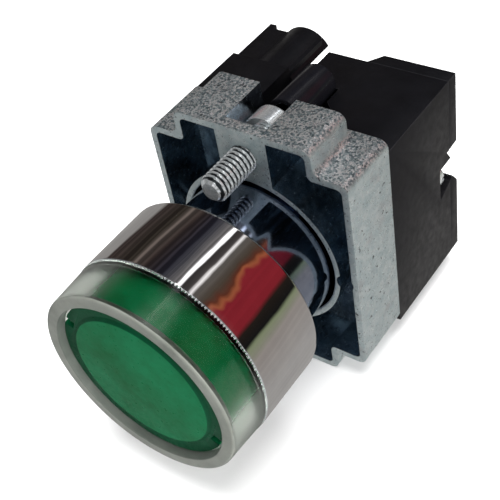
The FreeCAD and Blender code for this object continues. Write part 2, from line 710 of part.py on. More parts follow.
def make_contact_housing():
    """Black housing on the left: contact chamber, two terminal chambers, arched roof."""
    front = COLLAR_REAR
    rear = BLOCK_REAR
    wall_rear = f"{rear} + outer_wall_reach"
    outer = "-collar_half_width"
    inner = "-contact_inner"
    main = box("contact_main", (outer, front, BLOCK_BOTTOM), (inner, rear, BLOCK_TOP))
    raised = box("contact_raised", (outer, front, f"{BLOCK_TOP} - 1"),
                 (inner, CONTACT_STEP, f"{BLOCK_TOP} + contact_raise"))
    ear = box("contact_ear", (outer, f"{rear} - 1", BLOCK_BOTTOM),
              (f"{outer} + block_wall", wall_rear, BLOCK_TOP))
    arch = rod("contact_arch", "-contact_inner - arch_inset", f"{BLOCK_TOP} - arch_drop",
               CONTACT_STEP, wall_rear, "arch_radius")
    roof_low = f"{BLOCK_TOP} - roof_wall"
    cuts = [
        # chamber of the moving contacts, open on the inner side under the side cover
        box("contact_chamber",
            (f"-{CHAMBER_X}", f"{front} + block_wall", "-chamber_half_height"),
            (f"{inner} + 1", f"{rear} - cover_depth", "chamber_half_height")),
        # the side cover's seat
        box("contact_cover_seat",
            (f"{inner} - cover_side", f"{front} - 1", f"{BLOCK_BOTTOM} - 1"),
            (f"{inner} + 1", f"{rear} + 2", "chamber_half_height + 0.4")),
        # upper terminal chamber, open to the rear and on the inner side
        box("contact_upper", (f"{outer} + block_wall", TERMINAL_FLOOR,
                              "chamber_half_height + 0.7"),
            (f"{inner} + 5", f"{rear} + 2", roof_low)),
        box("contact_lead_in", (f"{outer} + block_wall", f"{rear} - 1.7",
                                "chamber_half_height - 0.6"),
            (f"{inner} + 5", f"{rear} + 2", "chamber_half_height + 1")),
        # lower terminal chamber
        box("contact_lower", (f"{outer} + block_wall", TERMINAL_FLOOR,
                              f"{BLOCK_BOTTOM} + block_wall"),
            (f"{inner} - cover_side", f"{rear} + 2", "-chamber_half_height - 0.9")),
        rod("plunger_hole", f"-{PLUNGER_X}", "0", f"{front} - 1", f"{front} + 3",
            "plunger_radius + slide_gap"),
        rod("contact_fixing_hole", f"-{FIXING_X}", "-fixing_height", f"{front} - 1",
            f"{rear} + 2", "fixing_shank + 0.2"),
        rod("contact_fixing_seat", f"-{FIXING_X}", "-fixing_height", FIXING_FLOOR,
            f"{rear} + 2", "fixing_head + 0.1"),
    ]
    for sign in ("", "-"):
        height = f"{sign}{TERMINAL_Z}"
        cuts.append(rod("contact_shank_hole", CONTACT_TERMINAL_X, height,
                        f"{TERMINAL_FLOOR} - 5", f"{TERMINAL_FLOOR} + 1", "screw_shank + 0.3"))
        # slot through which the fixed contact leaves the contact chamber
        low, high = (("chamber_half_height - 1", "chamber_half_height + 2") if not sign else
                     ("-chamber_half_height - 2", "-chamber_half_height + 1"))
        cuts.append(box("contact_strip_slot", (f"-{CHAMBER_X}", TIP_FRONT, low),
                        (f"{inner} - cover_side", f"{TIP_FRONT} + strip_thick + 1", high)))
    carved("contact_housing", [main, raised, ear, arch], cuts)


def make_contact_cover():
    """Flat cover that closes the contact chamber on its inner side."""
    box_low = ("-contact_inner - cover_side", COLLAR_REAR, BLOCK_BOTTOM)
    box_high = ("-contact_inner - 0.02", BLOCK_REAR, "chamber_half_height + 0.35")
    keep(box("contact_cover", box_low, box_high), "contact_cover")


def make_contact_plunger():
    """Plunger: a pin that the push plate meets and a slider inside the chamber."""
    front = f"{PLATE_REAR} + slide_gap"
    slider_front = f"{COLLAR_REAR} + block_wall + slide_gap"
    pin = rod("plunger_pin", f"-{PLUNGER_X}", "0", front, f"{slider_front} + 1",
              "plunger_radius")
    slider = box("plunger_slider", (f"-{CHAMBER_X} + 0.3", slider_front,
                                  "-slider_half_height"),
                 ("-contact_inner - 1.1", PLUNGER_REAR, "slider_half_height"))
    carved("contact_plunger", [pin, slider], [])


BRIDGE_X = f"(-({CHAMBER_X} + contact_inner + cover_side) / 2)"


def make_bridge_contact():
    """Moving contact: a brass strip with two silver buttons on its rear face."""
    half = f"(({CHAMBER_X} - contact_inner - cover_side) / 2 - 0.6)"
    strip = box("bridge_strip", (f"{BRIDGE_X} - {half}", BRIDGE_FRONT, "-chamber_half_height + 0.4"),
                (f"{BRIDGE_X} + {half}", f"{BRIDGE_FRONT} + bridge_thick",
                 "chamber_half_height - 0.4"))
    buttons = [rod("bridge_button", BRIDGE_X, height, f"{BRIDGE_FRONT} + bridge_thick - 0.1",
                   f"{BRIDGE_FRONT} + bridge_thick + 0.3", "silver_radius")
               for height in ("silver_rise", "-silver_rise")]
    carved("bridge_contact", [strip] + buttons, [])


def make_contact_springs():
    """Pressure spring between plunger and bridge, return spring behind the bridge."""
    coil("pressure_spring", BRIDGE_X, "0", f"{PLUNGER_REAR} + 0.1", f"{BRIDGE_FRONT} - 0.1",
         "pressure_coil", "contact_wire", "pressure_turns")
    coil("contact_return_spring", BRIDGE_X, "0", f"{BRIDGE_FRONT} + bridge_thick + 0.1",
         f"{BLOCK_REAR} - cover_depth - 0.1", "return_coil", "contact_wire", "return_turns")


def make_fixed_contacts():
    """Two brass strips: a silver-tipped end in the chamber, a threaded end under the clamp."""
    front = f"{TIP_FRONT} + 0.3"
    tail_front = TERMINAL_FLOOR
    for label, sign in (("fixed_contact_upper", 1), ("fixed_contact_lower", -1)):
        def at(height):
            return height if sign > 0 else f"-({height})"

        def span(low, high):
            return (at(low), at(high)) if sign > 0 else (at(high), at(low))

        x_inner = "-contact_inner - 1.0"
        low, high = span("2.6", "chamber_half_height + 1.7")
        finger = box(label + "_finger", (f"-{CHAMBER_X} + 0.2", front, low),
                     (x_inner, f"{front} + strip_thick", high))
        low, high = span("chamber_half_height + 1.0", "chamber_half_height + 1.7")
        riser = box(label + "_riser", (f"-{CHAMBER_X} + 0.2", tail_front, low),
                    (x_inner, f"{front} + strip_thick", high))
        low, high = span("chamber_half_height + 1.0", f"{BLOCK_TOP} - 1.8")
        tail = box(label + "_tail", ("-collar_half_width + block_wall + 0.1", tail_front, low),
                   (f"-{CHAMBER_X} + 1.4", f"{tail_front} + strip_thick", high))
        tip = rod(label + "_tip", BRIDGE_X, at("silver_rise"), f"{front} - 0.3", f"{front} + 0.1",
                  "silver_radius")
        hole = rod(label + "_hole", CONTACT_TERMINAL_X, at(TERMINAL_Z),
                   f"{tail_front} - 1", f"{tail_front} + 2", "screw_shank + thread_gap")
        carved(label, [finger, riser, tail, tip], [hole])


def terminal(prefix, x, sign, half):
    """Clamp plate and screw of one terminal; `half` is the plate's half width."""
    height = TERMINAL_Z if sign > 0 else f"-{TERMINAL_Z}"
    word = "upper" if sign > 0 else "lower"
    plate_front = f"{TERMINAL_FLOOR} + strip_thick + wire_gap"
    plate_rear = f"{plate_front} + clamp_plate"
    plate = box("plate", (f"{x} - {half}", plate_front, f"{height} - clamp_half_height"),
                (f"{x} + {half}", plate_rear, f"{height} + clamp_half_height"))
    lips = [box("lip", (f"{x} - {half}", f"{TERMINAL_FLOOR} + strip_thick + 0.02", f"{height} {a}"),
                (f"{x} + {half}", plate_rear, f"{height} {b}"))
            for a, b in (("- clamp_half_height", "- clamp_half_height + clamp_lip"),
                         ("+ clamp_half_height - clamp_lip", "+ clamp_half_height"))]
    hole = rod("plate_hole", x, height, f"{plate_front} - 2", f"{plate_rear} + 1",
               "screw_shank + 0.15")
    carved(f"{prefix}_clamp_{word}", [plate] + lips, [hole])
    head_front = f"{plate_rear} + 0.02"
    screw(f"{prefix}_screw_{word}", x, height, f"{head_front} - screw_length + 1.5",
          head_front, "screw_head_depth", "screw_shank", "screw_head")


# ---------------------------------------------------------------- light module
MODULE_TERMINAL_X = "(module_setback + (collar_half_width - module_setback) / 2)"


def side_recess(name, low, high):
    """Stepped recess with two catch teeth, cut across the rear of the light module."""
    rear = BLOCK_REAR
    return prism_x(name, [
        (f"{rear} + 1", "3.2"), (f"{rear} - 2.8", "2.9"), (f"{rear} - 1.8", "1.3"),
        (FIXING_FLOOR, "1.3"), (FIXING_FLOOR, "-4.1"), (f"{rear} - 1.3", "-2.3"),
        (f"{rear} + 1", "-5.2")], low, high)


def make_light_housing():
    """Black housing on the right: core round the lamp socket and two terminal chambers."""
    front = COLLAR_REAR
    main = box("module_main", ("-module_inner", front, BLOCK_BOTTOM),
               ("collar_half_width", MODULE_REAR, BLOCK_TOP))
    core = box("module_core_box", ("-module_core", front, "-core_half_height"),
               ("0", f"{MODULE_REAR} - 4", "core_half_height"))
    low = f"{CLAMP_Z} - guide_radius - 0.5"
    # the corner beside the driver guide is cut off at a slant, with a trough for the tube
    relief = prism_z("module_relief", [
        ("-module_inner - 1", f"{front} - 1"), ("relief_side", f"{front} - 1"),
        ("relief_side", f"{front} + relief_near"), ("-module_inner", f"{front} + relief_far"),
        ("-module_inner - 1", f"{front} + relief_far")], low, f"{BLOCK_TOP} + 1")
    cuts = [
        relief,
        rod("guide_trough", "0", CLAMP_Z, f"{front} - 1",
            f"{front} + guide_length + slide_gap", "guide_radius + slide_gap"),
        rod("socket_hole", "0", "0", f"{front} - 1", f"{LAMP_REAR} + 1.2",
            "lamp_radius + 0.2 + socket_wall + 0.1"),
        side_recess("module_recess", "module_setback - 1", "collar_half_width + 1"),
        rod("module_fixing_hole", FIXING_X, "-fixing_height", f"{front} - 1",
            f"{MODULE_REAR} + 1", "fixing_shank + 0.2"),
    ]
    for name, sign in (("upper", 1), ("lower", -1)):
        low, high = (("chamber_half_height + 0.9", f"{BLOCK_TOP} - block_wall") if sign > 0 else
                     (f"{BLOCK_BOTTOM} + block_wall", "-chamber_half_height - 0.9"))
        height = TERMINAL_Z if sign > 0 else f"-{TERMINAL_Z}"
        cuts.append(box("module_" + name, ("module_setback + 0.6", TERMINAL_FLOOR, low),
                        ("collar_half_width - block_wall", f"{MODULE_REAR} + 1", high)))
        cuts.append(rod("module_shank_hole", MODULE_TERMINAL_X, height, f"{TERMINAL_FLOOR} - 5",
                        f"{TERMINAL_FLOOR} + 1", "screw_shank + 0.3"))
        # groove for the leg of the terminal strip, from the lamp socket to the chamber
        low, high = (("0.8", "chamber_half_height + 3") if sign > 0 else
                     ("-chamber_half_height - 3", "-0.8"))
        cuts.append(box("module_groove", ("-1.3", f"{LAMP_REAR} + 0.9", low),
                        ("1.3", f"{LAMP_REAR} + 2.2", high)))
        low, high = (("chamber_half_height + 1", "chamber_half_height + 3") if sign > 0 else
                     ("-chamber_half_height - 3", "-chamber_half_height - 1"))
        cuts.append(box("module_cross_groove", ("-1.3", f"{LAMP_REAR} + 0.9", low),
                        ("module_setback + 1", f"{TERMINAL_FLOOR} + strip_thick + 0.2", high)))
    carved("light_housing", [main, core], cuts)


def make_light_cover():
    """Rear cover of the light module, with driver holes and wire entries."""
    front = MODULE_REAR
    rear = BLOCK_REAR
    plate = prism_z("cover_plate", [
        ("module_setback - module_slant", front), ("collar_half_width", front),
        ("collar_half_width", rear), ("module_setback", rear)], BLOCK_BOTTOM, BLOCK_TOP)
    cuts = [side_recess("cover_recess", "module_setback - 3", "collar_half_width + 1")]
    for name, height in (("upper", TERMINAL_Z), ("lower", f"-{TERMINAL_Z}")):
        cuts.append(rod("driver_hole_" + name, MODULE_TERMINAL_X, height, f"{front} - 1",
                        f"{rear} + 1", "screw_head + 0.4"))
        for way in ("-", "+"):
            x = f"{MODULE_TERMINAL_X} {way} wire_entry_offset"
            cuts.append(box("wire_entry",
                            (f"{x} - wire_entry_half", f"{front} - 1",
                             f"{height} - wire_entry_rise"),
                            (f"{x} + wire_entry_half", f"{rear} + 1", f"{height} + wire_entry_rise")))
    carved("light_cover", [plate], cuts)


def make_lamp():
    """Socket tube in the housing, lamp base in it, and the lamp's translucent dome."""
    wall = "lamp_radius + 0.2"
    front = f"{COLLAR_REAR} + 0.3"
    tube = rod("socket_tube", "0", "0", front, f"{LAMP_REAR} + 1.2", f"{wall} + socket_wall")
    bore = rod("socket_bore", "0", "0", f"{front} - 1", f"{LAMP_REAR} + 0.4", wall)
    slot = box("socket_slot", (f"-{wall} - 2", f"{front} - 1", "-0.9"),
               (f"{wall} + 2", f"{front} + 3", "0.9"))
    pip = rod("socket_centre_hole", "0", "0", LAMP_REAR, f"{LAMP_REAR} + 2", "1.6")
    carved("lamp_socket", [tube], [bore, slot, pip])

    base = rod("base_shell", "0", "0", LAMP_BASE, f"{LAMP_REAR} - 0.6", "lamp_radius")
    foot = rod("base_contact", "0", "0", f"{LAMP_REAR} - 0.8", f"{LAMP_REAR} + 0.8", "1.3")
    carved("lamp_base", [base, foot], [])

    dome = doc.addObject("Part::Sphere", "lamp_tip")
    dome.setExpression("Radius", bound("lamp_radius - 0.3"))
    dome.setExpression("Placement.Base.y", bound(LAMP_FRONT))
    glass = rod("lamp_barrel", "0", "0", LAMP_FRONT, LAMP_BASE,
                "lamp_radius - 0.3")
    carved("lamp_dome", [dome, glass], [])


def make_module_strips():
    """Brass strips from the module's terminals to the lamp: centre contact and shell."""
    back = f"{LAMP_REAR} + 1.3"
    for name, sign in (("upper", 1), ("lower", -1)):
        def span(low, high):
            return (low, high) if sign > 0 else (f"-({high})", f"-({low})")

        height = TERMINAL_Z if sign > 0 else f"-{TERMINAL_Z}"
        low, high = span("0.9" if sign > 0 else "2.2", "chamber_half_height + 2.6")
        leg = box("leg", ("-1.1", back, low), ("1.1", f"{back} + strip_thick", high))
        low, high = span("chamber_half_height + 1.2", "chamber_half_height + 2.6")
        arm = box("arm", ("-1.1", back, low),
                  ("module_setback + 0.9", f"{back} + strip_thick", high))
        rise = box("rise", ("module_setback + 0.1", back, low),
                   ("module_setback + 0.9", f"{TERMINAL_FLOOR} + strip_thick", high))
        low, high = span("chamber_half_height + 1.2", f"{BLOCK_TOP} - block_wall - 0.3")
        tail = box("tail", ("module_setback + 0.7", TERMINAL_FLOOR, low),
                   ("collar_half_width - block_wall - 0.1", f"{TERMINAL_FLOOR} + strip_thick", high))
        hole = rod("strip_hole", MODULE_TERMINAL_X, height, f"{TERMINAL_FLOOR} - 1",
                   f"{TERMINAL_FLOOR} + 2", "screw_shank + thread_gap")
        carved(f"module_strip_{name}", [leg, arm, rise, tail], [hole])


# ---------------------------------------------------------------- build
for make in (make_bezel, make_guard_ring, make_head_body, make_panel_gasket, make_bumper_seal,
             make_lens_cap, make_lens_diffuser, make_button_carrier, make_retaining_ring,
             make_push_plate, make_return_spring, make_fixing_collar, make_clamp_screw,
             make_screw_guide, make_fixing_screws, make_contact_housing, make_contact_cover,
             make_contact_plunger, make_bridge_contact, make_contact_springs,
             make_fixed_contacts, make_light_housing, make_light_cover, make_lamp,
             make_module_strips):
    make()
for side in (1, -1):
    terminal("contact", CONTACT_TERMINAL_X, side, "contact_clamp_half")
    terminal("module", MODULE_TERMINAL_X, side, "module_clamp_half")
doc.recompute()

# ---------------------------------------------------------------- checks and export
for obj in doc.Objects:
    if "Invalid" in obj.State or "Error" in obj.State:
        raise RuntimeError(f"{obj.Label} failed: {obj.State}")
for node in NODES:
    shape = node.Shape
    if shape.isNull() or not shape.isValid() or not shape.Solids:
        raise RuntimeError(f"{node.Label} has no valid solid")
for node in NODES:
    node.Shape.exportStep(f"parts/{node.Label}.step")
print(len(NODES), "sub-parts written")
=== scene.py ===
import json
import math
import random

import bmesh
import bpy
from mathutils import Matrix, Vector


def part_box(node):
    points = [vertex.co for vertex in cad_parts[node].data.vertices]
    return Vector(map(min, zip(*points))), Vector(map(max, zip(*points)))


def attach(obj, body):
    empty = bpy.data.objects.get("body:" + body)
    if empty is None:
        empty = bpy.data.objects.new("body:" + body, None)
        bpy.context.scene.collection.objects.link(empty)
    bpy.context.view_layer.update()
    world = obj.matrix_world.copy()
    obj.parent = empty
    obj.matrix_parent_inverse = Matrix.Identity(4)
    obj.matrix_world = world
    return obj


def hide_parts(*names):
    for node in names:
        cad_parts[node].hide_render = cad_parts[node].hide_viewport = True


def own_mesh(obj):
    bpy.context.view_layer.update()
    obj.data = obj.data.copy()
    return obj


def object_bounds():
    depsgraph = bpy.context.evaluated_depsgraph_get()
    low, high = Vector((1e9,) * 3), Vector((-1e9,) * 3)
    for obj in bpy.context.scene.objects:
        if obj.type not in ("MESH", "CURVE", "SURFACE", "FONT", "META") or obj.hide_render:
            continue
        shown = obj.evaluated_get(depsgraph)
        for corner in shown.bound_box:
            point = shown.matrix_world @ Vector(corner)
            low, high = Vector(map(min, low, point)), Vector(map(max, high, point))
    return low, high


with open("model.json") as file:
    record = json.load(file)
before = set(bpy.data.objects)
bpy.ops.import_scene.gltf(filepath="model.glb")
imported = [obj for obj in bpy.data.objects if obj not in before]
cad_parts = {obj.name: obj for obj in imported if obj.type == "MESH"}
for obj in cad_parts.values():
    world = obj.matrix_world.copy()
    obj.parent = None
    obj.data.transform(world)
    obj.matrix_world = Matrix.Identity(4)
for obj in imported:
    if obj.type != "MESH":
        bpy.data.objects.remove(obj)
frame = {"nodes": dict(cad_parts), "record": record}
CAD_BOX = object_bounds()
NODES = frame["nodes"]
MM = 0.001
random.seed(7)
scene = bpy.context.scene


# ------------------------------------------------------------------ node helpers
class Nodes:
    """Adds shader nodes to a tree. What feeds them is a number or another node's output."""

    def __init__(self, tree):
        self.tree = tree

    def add(self, kind, **values):
        node = self.tree.nodes.new(kind)
        for key, value in values.items():
            setattr(node, key, value)
        return node

    def feed(self, socket, value):
        if isinstance(value, bpy.types.NodeSocket):
            self.tree.links.new(value, socket)
        else:
            socket.default_value = value

    def calculate(self, operation, *values):
        node = self.add("ShaderNodeMath", operation=operation)
        for socket, value in zip(node.inputs, values):
            self.feed(socket, value)
        return node.outputs[0]

    def noise_over(self, place, scale, detail, rough=0.5, line=False):
        """Noise over a point, or over a single number where line is set."""
        node = self.add("ShaderNodeTexNoise", noise_dimensions="1D" if line else "3D")
        for socket, value in (("Scale", scale), ("Detail", detail), ("Roughness", rough),
                              ("W" if line else "Vector", place)):
            self.feed(node.inputs[socket], value)
        return node.outputs[0]

    def ramp(self, source, stops):
        """Stops are (place, colour or number)."""
        node = self.add("ShaderNodeValToRGB")
        while len(node.color_ramp.elements) < len(stops):
            node.color_ramp.elements.new(0.5)
        for element, (at, colour) in zip(node.color_ramp.elements, stops):
            element.position = at
            if not hasattr(colour, "__len__"):
                colour = (colour,) * 3
            element.color = (*colour, 1)
        self.feed(node.inputs[0], source)
        return node.outputs[0]

    def span(self, source, low, high, start=0.0, end=1.0, how="LINEAR"):
        """Turn start to end into low to high, and stay there beyond."""
        node = self.add("ShaderNodeMapRange", interpolation_type=how)
        for socket, value in (("From Min", start), ("From Max", end), ("To Min", low),
                              ("To Max", high), ("Value", source)):
            self.feed(node.inputs[socket], value)
        return node.outputs[0]


class Shade(Nodes):
    """A procedural material: a Principled shader and the patterns that feed it, in millimetres."""

    # a noise's values lie mostly between these two
    LOW, HIGH = 0.3, 0.7

    def __init__(self, name, **sockets):
        self.material = bpy.data.materials.new(name)
        self.material.use_nodes = True
        super().__init__(self.material.node_tree)
        self.shader = self.tree.nodes["Principled BSDF"]
        for socket, value in sockets.items():
            self.shader.inputs[socket.replace("_", " ")].default_value = value
        scaled = self.add("ShaderNodeMapping")
        scaled.inputs["Scale"].default_value = (1 / MM, 1 / MM, 1 / MM)
        self.coord = self.add("ShaderNodeTexCoord")
        self.feed(scaled.inputs["Vector"], self.coord.outputs["Object"])
        self.place = scaled.outputs[0]

    def noise(self, scale, detail=3.0, rough=0.55):
        return self.noise_over(self.place, scale, detail, rough)

    def flakes(self, scale):
        """Cells of random colours."""
        node = self.add("ShaderNodeTexVoronoi")
        node.inputs["Scale"].default_value = scale
        self.feed(node.inputs["Vector"], self.place)
        return node.outputs["Color"]

    def blend(self, factor, a, b):
        node = self.add("ShaderNodeMix", data_type="RGBA")
        self.feed(node.inputs[0], factor)
        for index, value in ((6, a), (7, b)):
            is_colour = isinstance(value, tuple)
            self.feed(node.inputs[index], (*value, 1) if is_colour else value)
        return node.outputs[2]

    def colour(self, source):
        self.feed(self.shader.inputs["Base Color"], source)

    def rough(self, source):
        self.feed(self.shader.inputs["Roughness"], source)

    def mottled(self, noise, dark, pale):
        self.colour(self.ramp(noise, [(self.LOW, dark), (self.HIGH, pale)]))

    def worn(self, noise, glossy, dull):
        self.rough(self.span(noise, glossy, dull, self.LOW, self.HIGH))

    def bump(self, source, height, strength=1.0):
        node = self.add("ShaderNodeBump")
        node.inputs["Distance"].default_value = height * MM
        node.inputs["Strength"].default_value = strength
        self.feed(node.inputs["Height"], source)
        self.feed(self.shader.inputs["Normal"], node.outputs[0])


# ------------------------------------------------------------------ materials
def chrome():
    m = Shade("bright_chrome", Metallic=1.0)
    m.mottled(m.noise(0.35), (0.70, 0.69, 0.69), (0.76, 0.75, 0.74))
    m.rough(m.span(m.noise(1.4, 5), 0.012, 0.04, 0.35, 0.7))
    m.bump(m.noise(0.45, 2), 0.003)
    return m.material


def tail_chrome():
    m = Shade("tail_chrome", Metallic=1.0)
    specks = m.ramp(m.noise(4.0, 8, 0.8), [(0.66, 0.0), (0.70, 1.0)])
    base = m.ramp(m.noise(0.5), [(0.3, (0.26, 0.31, 0.42)), (0.7, (0.38, 0.43, 0.54))])
    m.colour(m.blend(specks, base, (0.90, 0.93, 0.98)))
    m.rough(m.span(specks, 0.09, 0.35))
    m.bump(m.noise(0.8, 3), 0.006)
    return m.material


def zinc_casting():
    """Zinc die casting: large grains with bright flecks painted as glints on faces that look up,
    and a smoother, paler tone painted as light on the sides, which are pitted.
    """
    m = Shade("zinc_casting", Metallic=0.93)
    normal = m.add("ShaderNodeSeparateXYZ")
    m.feed(normal.inputs[0], m.coord.outputs["Normal"])
    # faces that look up take the grain with painted glints, the sides take the paler tone of
    # painted light
    upward = m.span(normal.outputs["Z"], 0.0, 1.0, 0.25, 0.75)
    grain = m.noise(3.0, 8, 0.80)
    mixed = m.blend(0.35, grain, m.flakes(4.2))
    grain_and_painted_glints = m.ramp(mixed, [(0.38, (0.15, 0.20, 0.22)), (0.47, (0.42, 0.51, 0.54)),
                            (0.57, (1.0, 1.0, 1.0))])
    side_tone_painted_light = m.ramp(m.noise(0.9, 5, 0.6), [(0.3, (0.55, 0.66, 0.68)), (0.7, (0.80, 0.87, 0.87))])
    # skin carries both marks of painted light: glints on top, a lighter tone on the sides
    skin = m.blend(upward, side_tone_painted_light, grain_and_painted_glints)
    stain = m.ramp(m.noise(0.3, 3), [(0.55, 0.0), (0.72, 0.35)])
    tinted = m.blend(stain, skin, (0.42, 0.36, 0.37))
    pits = m.ramp(m.noise(1.5, 2, 0.5), [(0.29, 1.0), (0.32, 0.0)])
    m.colour(m.blend(pits, tinted, (0.10, 0.11, 0.12)))
    m.rough(m.span(mixed, 0.55, 0.26, 0.3, 0.65))
    m.bump(mixed, 0.13, 0.9)
    return m.material


def zinc_edge_highlight():
    """The casting's rounded edges, painted pale as a highlight along them."""
    m = Shade("zinc_edge_highlight", Metallic=0.86)
    m.colour(m.ramp(m.noise(2.0, 5, 0.7), [(0.3, (0.62, 0.70, 0.72)), (0.6, (0.98, 1.0, 1.0))]))
    m.worn(m.noise(2.5, 4), 0.18, 0.36)
    m.bump(m.noise(3.0, 6, 0.7), 0.04)
    return m.material


def casting_pocket_shade():
    """The same casting in its pockets: glossier, and darker and bluish as painted shade."""
    m = Shade("casting_pocket_shade", Metallic=1.0)
    m.colour(m.ramp(m.noise(0.45, 4), [(0.30, (0.30, 0.37, 0.44)), (0.55, (0.46, 0.55, 0.62)),
                                       (0.75, (0.70, 0.82, 0.86))]))
    m.worn(m.noise(1.2, 5), 0.10, 0.30)
    m.bump(m.noise(1.0, 5, 0.6), 0.05)
    return m.material


def zinc_plate():
    m = Shade("zinc_plate", Metallic=0.88)
    m.mottled(m.noise(1.2, 4), (0.82, 0.88, 0.90), (0.97, 0.99, 1.0))
    m.worn(m.noise(2.5, 4), 0.12, 0.26)
    m.bump(m.noise(4.0, 4), 0.01)
    return m.material


def thread_root_shade():
    """The grooves of the screw threads, painted dark as the shade in them."""
    m = Shade("thread_root_shade", Metallic=1.0)
    m.mottled(m.noise(1.6, 4), (0.06, 0.07, 0.08), (0.14, 0.16, 0.17))
    m.worn(m.noise(2.5, 4), 0.25, 0.45)
    m.bump(m.noise(5.0, 4), 0.01)
    return m.material


def spring_steel():
    m = Shade("spring_steel", Metallic=1.0)
    m.mottled(m.noise(2.0, 4), (0.40, 0.40, 0.41), (0.58, 0.58, 0.58))
    m.worn(m.noise(3.0), 0.2, 0.4)
    m.bump(m.noise(6.0), 0.01)
    return m.material


def brass():
    m = Shade("brass", Metallic=1.0)
    m.mottled(m.noise(1.0, 4), (0.62, 0.43, 0.17), (0.80, 0.60, 0.28))
    m.worn(m.noise(3.0), 0.2, 0.42)
    m.bump(m.noise(5.0), 0.008)
    return m.material


def black_plastic(name="black_plastic", tone=(0.0022, 0.0022, 0.0028), gloss=0.36, dusty=0.30):
    m = Shade(name, Specular_IOR_Level=0.26)
    dust = m.ramp(m.noise(2.2, 8, 0.78), [(0.60, 0.0), (0.74, dusty)])
    base = m.ramp(m.noise(0.25, 3), [(0.3, tone), (0.7, tuple(1.6 * c for c in tone))])
    m.colour(m.blend(dust, base, (0.03, 0.03, 0.033)))
    m.worn(m.noise(0.8, 5), gloss - 0.07, gloss + 0.10)
    m.bump(m.noise(9.0, 3), 0.010)
    return m.material


def green_lens(name="green_lens", deep=(0.0006, 0.070, 0.020), bright=(0.0020, 0.112, 0.042)):
    m = Shade(name, IOR=1.45, Specular_IOR_Level=0.10)
    clouds = m.blend(0.4, m.noise(0.14, 3), m.noise(0.9, 6, 0.7))
    m.colour(m.ramp(clouds, [(0.36, deep), (0.60, bright)]))
    m.worn(m.noise(1.5, 5), 0.26, 0.42)
    m.bump(m.noise(3.0, 3), 0.004)
    return m.material


def clear_plastic():
    """Clear plastic that turns misty where it is looked at along its surface."""
    m = Shade("clear_plastic", IOR=1.30, Specular_IOR_Level=0.5)
    m.mottled(m.noise(0.3), (0.50, 0.53, 0.48), (0.58, 0.61, 0.56))
    edge_on = m.add("ShaderNodeLayerWeight").outputs["Facing"]
    mist = m.span(edge_on, 0.0, 1.0, 0.30, 0.52)
    m.feed(m.shader.inputs["Transmission Weight"], m.span(mist, 1.0, 0.95))
    clear = m.span(m.noise(0.9, 5), 0.05, 0.12, m.LOW, m.HIGH)
    m.rough(m.blend(mist, clear, (0.38, 0.38, 0.38)))
    m.bump(m.noise(0.8, 3), 0.01)
    return m.material


def frosted_plastic(name="frosted_plastic", dark=(0.14, 0.15, 0.13), pale=(0.22, 0.23, 0.205)):
    """The guard's front annulus, which is ground and looks grey."""
    m = Shade(name, Transmission_Weight=0.25, IOR=1.45)
    m.mottled(m.noise(0.25, 4), dark, pale)
    m.worn(m.noise(0.9, 5), 0.30, 0.45)
    m.bump(m.noise(3.0, 3), 0.01)
    return m.material


def milky_plastic():
    m = Shade("milky_plastic", IOR=1.5)
    m.mottled(m.noise(0.4), (0.72, 0.72, 0.68), (0.82, 0.82, 0.79))
    m.worn(m.noise(2.0), 0.35, 0.5)
    m.bump(m.noise(5.0), 0.01)
    return m.material


def rubber():
    m = Shade("black_rubber")
    m.mottled(m.noise(0.8, 4), (0.012, 0.012, 0.012), (0.025, 0.025, 0.025))
    m.worn(m.noise(2.0), 0.6, 0.8)
    m.bump(m.noise(6.0), 0.02)
    return m.material


SLOTS = {
    "chrome": chrome(), "tail_chrome": tail_chrome(), "clear_plastic": clear_plastic(),
    "green_lens": green_lens(), "milky_plastic": milky_plastic(),
    "zinc_casting": zinc_casting(), "zinc_plate": zinc_plate(),
    "spring_steel": spring_steel(), "black_plastic": black_plastic(),
    "carrier_plastic": milky_plastic(),
    "brass": brass(), "black_rubber": rubber(),
}
FROSTED = frosted_plastic()
# a darker grey for the guard's hole wall, painted shade
FROSTED_HOLE_SHADE = frosted_plastic("frosted_hole_shade", (0.060, 0.070, 0.060), (0.095, 0.105, 0.092))
LENS_RIM = green_lens("green_lens_rim", (0.0008, 0.036, 0.014), (0.0016, 0.056, 0.023))
# a brighter green for the cap's side wall, painted light
LENS_SIDE_LIT = green_lens("green_lens_side_lit", (0.0008, 0.130, 0.040), (0.0030, 0.210, 0.080))
# a near black green for the notch, painted shade
LENS_NOTCH_SHADE = green_lens("green_lens_notch_shade", (0.0004, 0.006, 0.003), (0.0008, 0.010, 0.005))
CASTING_POCKET_SHADE = casting_pocket_shade()
THREAD_ROOT_SHADE = thread_root_shade()
ZINC_EDGE_HIGHLIGHT = zinc_edge_highlight()
# a paler black for the blocks' rounded edges, painted as a highlight
BLACK_EDGE_HIGHLIGHT = black_plastic("black_edge_highlight", (0.0085, 0.0085, 0.0095), 0.30, 0.2)
GLOSSY_BLACK = black_plastic("glossy_black", (0.003, 0.003, 0.004), 0.16, 0.15)


# ------------------------------------------------------------------ geometry helpers
def piece(name, mesh, body, slot, nodes=(), materials=None, sharp=35):
    """Put a finished mesh in the scene: it rides on a body and stands for CAD nodes.

    Edges that turn by more than sharp degrees stay sharp.
    """
    obj = bpy.data.objects.new(name, mesh)
    scene.collection.objects.link(obj)
    for material in materials or [SLOTS[slot]]:
        mesh.materials.append(material)
    for face in mesh.polygons:
        face.use_smooth = True
    mesh.set_sharp_from_angle(angle=math.radians(sharp))
    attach(obj, body)
    if nodes:
        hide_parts(*nodes)
    return obj


def mesh_from(name, verts, faces):
    """A mesh from points in millimetres, with its faces turned outwards."""
    mesh = bpy.data.meshes.new(name)
    mesh.from_pydata([Vector(v) * MM for v in verts], [], faces)
    mesh.update()
    bm = bmesh.new()
    bm.from_mesh(mesh)
    bmesh.ops.remove_doubles(bm, verts=bm.verts, dist=1e-8)
    bmesh.ops.recalc_face_normals(bm, faces=bm.faces)
    bm.to_mesh(mesh)
    bm.free()
    return mesh


